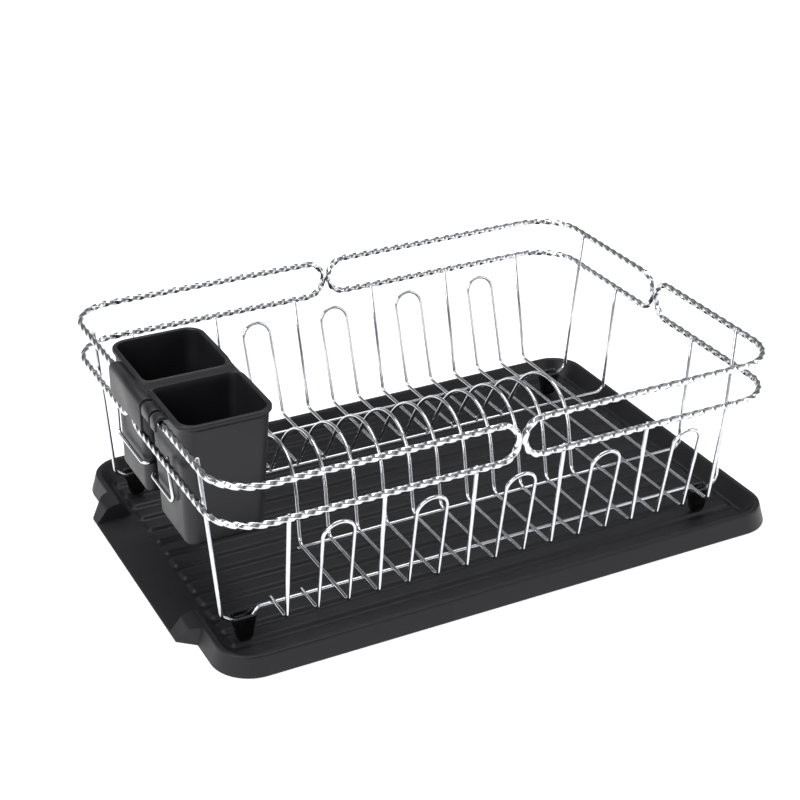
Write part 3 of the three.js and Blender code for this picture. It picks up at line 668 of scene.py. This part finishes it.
def cupRing(side, z, grow, reach, heightOnBridge=None):
    # a cup's outline at a height, grown outwards; reach is how far it grows towards the bridge
    t = 1 - (min(z, caddy["rimZ"]) - caddy["baseZ"]) / (caddy["rimZ"] - caddy["baseZ"])
    inner = caddy["bridgeHalf"] + caddy["draftInner"] * t - reach
    outer = caddy["half"] - caddy["bead"] - caddy["draftEnd"] * t + grow
    far = caddy["corner"] - 3 * t + grow
    near = max(0.05, caddy["cornerByBridge"] - 1.5 * t + reach * (1 if reach < 0 else -1.7))
    leftX = caddy["left"] + caddy["draftLeft"] * t - grow
    rightX = caddy["right"] - caddy["bead"] - caddy["draftRight"] * t + grow
    ring = roundedRing(leftX, rightX, inner, outer, near, far)
    level = np.full(len(ring), float(z))
    if heightOnBridge is not None:
        # smooth step down from the rim to the bridge
        away = np.clip((ring[:, 1] - caddy["bridgeHalf"] - 2.2) / 7, 0, 1)
        level = heightOnBridge + (z - heightOnBridge) * away * away * (3 - 2 * away)
    return np.column_stack([ring[:, 0], side * ring[:, 1] + caddy["middleY"], level]) + rackMid


def cupMesh(side, name):
    # up the outside of one cup, over the rim and its half of the bridge, and down inside
    top, base, wall, bead = caddy["rimZ"], caddy["baseZ"], caddy["wall"], caddy["bead"]
    bridge, fillet, reach = top - caddy["bridgeDrop"], caddy["bottomFillet"], caddy["bridgeHalf"]
    turn = np.radians(np.linspace(0, 90, 7))
    under = top - caddy["beadHeight"]
    # height, growth past the wall, reach over the bridge, height on the bridge
    rim = [(under - 2.2, 0.05, 0.2, under - 2.2), (under - 0.6, 0.45, 1, bridge - 2.2),
           (under + 0.1, bead - 0.35, reach, bridge - 2), (under + 0.5, bead, reach, bridge - 1.6),
           (top - 1.0, bead, reach, bridge - 0.4), (top - 0.35, bead - 0.25, reach, bridge),
           (top, bead - 0.9, reach - 0.6, bridge), (top, -0.6, -0.2, bridge + 0.02),
           (top, -wall + 1.15, -wall + 1.3, bridge + 0.1),
           (top - 0.02, -wall + 0.6, -wall + 0.8, bridge + 0.55),
           (top - 0.3, -wall + 0.1, -wall + 0.2, bridge + 0.5), (top - 0.9, -wall, -wall, bridge)]
    inside, innerFillet = base + caddy["floor"], 4
    rings = []
    for a in turn:
        inset = fillet * (np.sin(a) - 1)
        rings.append(cupRing(side, base + fillet * (1 - np.cos(a)), inset, inset))
    rings += [cupRing(side, z, 0, 0) for z in np.linspace(base + 12, top - 9, 9)]
    rings += [cupRing(side, *row) for row in rim]
    rings += [cupRing(side, z, -wall, -wall) for z in np.linspace(top - 7, base + 10, 9)]
    for a in turn[::-1]:
        inset = -wall - innerFillet * (1 - np.sin(a))
        rings.append(cupRing(side, inside + innerFillet * (1 - np.cos(a)), inset, inset))
    return stackedRings(rings, name, side < 0, 50)


def hookMesh(name, fromY, toY, bottomZ):
    # a channel over the upper rail: a groove by the rim, a round ridge, a skirt outside; seen along y
    outer = [(-211.6, 154.6), (-213.2, 154.2), (-214.2, 154.5), (-215.6, 155.1), (-217, 155.35),
             (-218.8, 155.2), (-220.4, 154.6), (-221.6, 153.5), (-222.3, 152.1), (-222.5, 150.5),
             (-222.5, bottomZ + 0.5), (-222.1, bottomZ)]
    inner = [(-221.1, bottomZ), (-220.7, bottomZ + 0.4), (-220.7, 150.2), (-220.4, 151.6),
             (-219.6, 152.6), (-218.2, 153.2), (-216, 153.2), (-214.6, 152.8), (-211.6, 152.7)]
    section = np.array(outer + inner)
    rows = np.array([fromY, fromY + 0.5, toY - 0.5, toY])
    drawn = np.array([0.25, 0, 0, 0.25])
    middle = section.mean(0)
    grid = section[None] - drawn[:, None, None] * np.sign(section - middle)[None]
    points = np.stack([grid[..., 0], np.broadcast_to(rows[:, None], grid.shape[:2]), grid[..., 1]], -1)
    return stackedRings(points + rackMid, name, False, 50)


hooks = dict(back=(-19.5, 45, 131), middle=(-37.5, -23, 146), front=(-49.5, -40.5, 144.5))
for label, side in (("front", -1), ("back", 1)):
    name = "caddy_cup_" + label
    addPiece(name, cupMesh(side, name), caddyPlastic, "caddy", "caddy_plastic", "cutlery_caddy")
for label, (fromY, toY, bottomZ) in hooks.items():
    name = "caddy_hook_" + label
    addPiece(name, hookMesh(name, fromY, toY, bottomZ), caddyPlastic, "caddy", "caddy_plastic",
             "cutlery_caddy")
print("caddy made")


def addAreaLight(name, place, target, size, power):
    light = bpy.data.lights.new(name, "AREA")
    light.shape = "RECTANGLE"
    light.size, light.size_y = size
    light.energy = power
    holder = bpy.data.objects.new(name, light)
    bpy.context.scene.collection.objects.link(holder)
    back = unit(np.array(place, float) - np.array(target, float))
    right = unit(np.cross((0, 0, 1), back))
    turn = Matrix(np.stack([right, np.cross(back, right), back], -1).tolist()).to_4x4()
    holder.matrix_world = Matrix.Translation(place) @ turn


def addFloor(size, tone, glow):
    # a white sheet that gives off some light of its own, so that it stays even and shadows are soft
    half = size / 2
    points = np.array([(-half, -half, 0), (half, -half, 0), (half, half, 0), (-half, half, 0)]) / mm
    mesh = makeMesh("studio_floor", points - (0, 0, 0.4), np.array([[0, 1, 2, 3]]))
    material = bpy.data.materials.new("studio_floor")
    material.use_nodes = True
    shader = material.node_tree.nodes["Principled BSDF"]
    shader.inputs["Base Color"].default_value = (*tone, 1)
    shader.inputs["Roughness"].default_value = 0.7
    shader.inputs["Specular IOR Level"].default_value = 0.0
    shader.inputs["Emission Color"].default_value = (1, 1, 1, 1)
    shader.inputs["Emission Strength"].default_value = glow
    mesh.materials.append(material)
    floor = bpy.data.objects.new("studio_floor", mesh)
    bpy.context.scene.collection.objects.link(floor)


def addWorld(stops, strength):
    # studio surroundings: brightness by height above the horizon
    world = bpy.data.worlds.new("studio")
    bpy.context.scene.world = world
    world.use_nodes = True
    tree = world.node_tree
    coordinates = tree.nodes.new("ShaderNodeTexCoord")
    split = tree.nodes.new("ShaderNodeSeparateXYZ")
    ramp = tree.nodes.new("ShaderNodeValToRGB")
    background = tree.nodes["Background"]
    tree.links.new(coordinates.outputs["Generated"], split.inputs[0])
    tree.links.new(split.outputs["Z"], ramp.inputs["Fac"])
    tree.links.new(ramp.outputs["Color"], background.inputs["Color"])
    background.inputs["Strength"].default_value = strength
    while len(ramp.color_ramp.elements) < len(stops):
        ramp.color_ramp.elements.new(0.5)
    for element, (height, tone) in zip(ramp.color_ramp.elements, stops):
        element.position = height
        element.color = (tone, tone, tone * 1.01, 1)


def addCamera(aim, distance, azimuth, elevation, roll, lens):
    # looks at aim (mm from the middle of the rails, on the floor) from the front left, above
    az, el, tilt = np.radians([azimuth, elevation, roll])
    forward = np.array([np.sin(az) * np.cos(el), np.cos(az) * np.cos(el), -np.sin(el)])
    right = np.array([np.cos(az), -np.sin(az), 0])
    up = np.cross(right, forward)
    right, up = right * np.cos(tilt) + up * np.sin(tilt), up * np.cos(tilt) - right * np.sin(tilt)
    place = (np.array(aim) + rackMid - forward * distance) * mm
    camera = bpy.data.cameras.new("camera")
    camera.lens = lens
    camera.sensor_width = 36
    camera.clip_end = 100
    holder = bpy.data.objects.new("camera", camera)
    bpy.context.scene.collection.objects.link(holder)
    turned = Matrix(np.stack([right, up, -forward], -1).tolist()).to_4x4()
    holder.matrix_world = Matrix.Translation(place) @ turned
    bpy.context.scene.camera = holder


addFloor(24.0, (0.8, 0.8, 0.8), 0.6)
addWorld([(0.0, 1.0), (0.1, 0.6), (0.28, 0.2), (0.55, 0.16), (0.8, 0.4), (1.0, 0.55)], 1.0)
addAreaLight("key_left", (-1.6, -0.5, 1.3), (0, 0, 0.05), (1.3, 1.3), 26)
addAreaLight("fill_right", (1.6, -1.0, 1.1), (0, 0, 0.05), (1.2, 1.2), 9)
addAreaLight("top", (0.1, 0.5, 2.0), (0, 0, 0), (1.6, 1.2), 18)
addCamera((7.5, 40, 73.7), 1340, 27.261, 27.605, 0.275, 77.14)
bpy.context.scene.view_settings.view_transform = "Standard"
print("stage made")
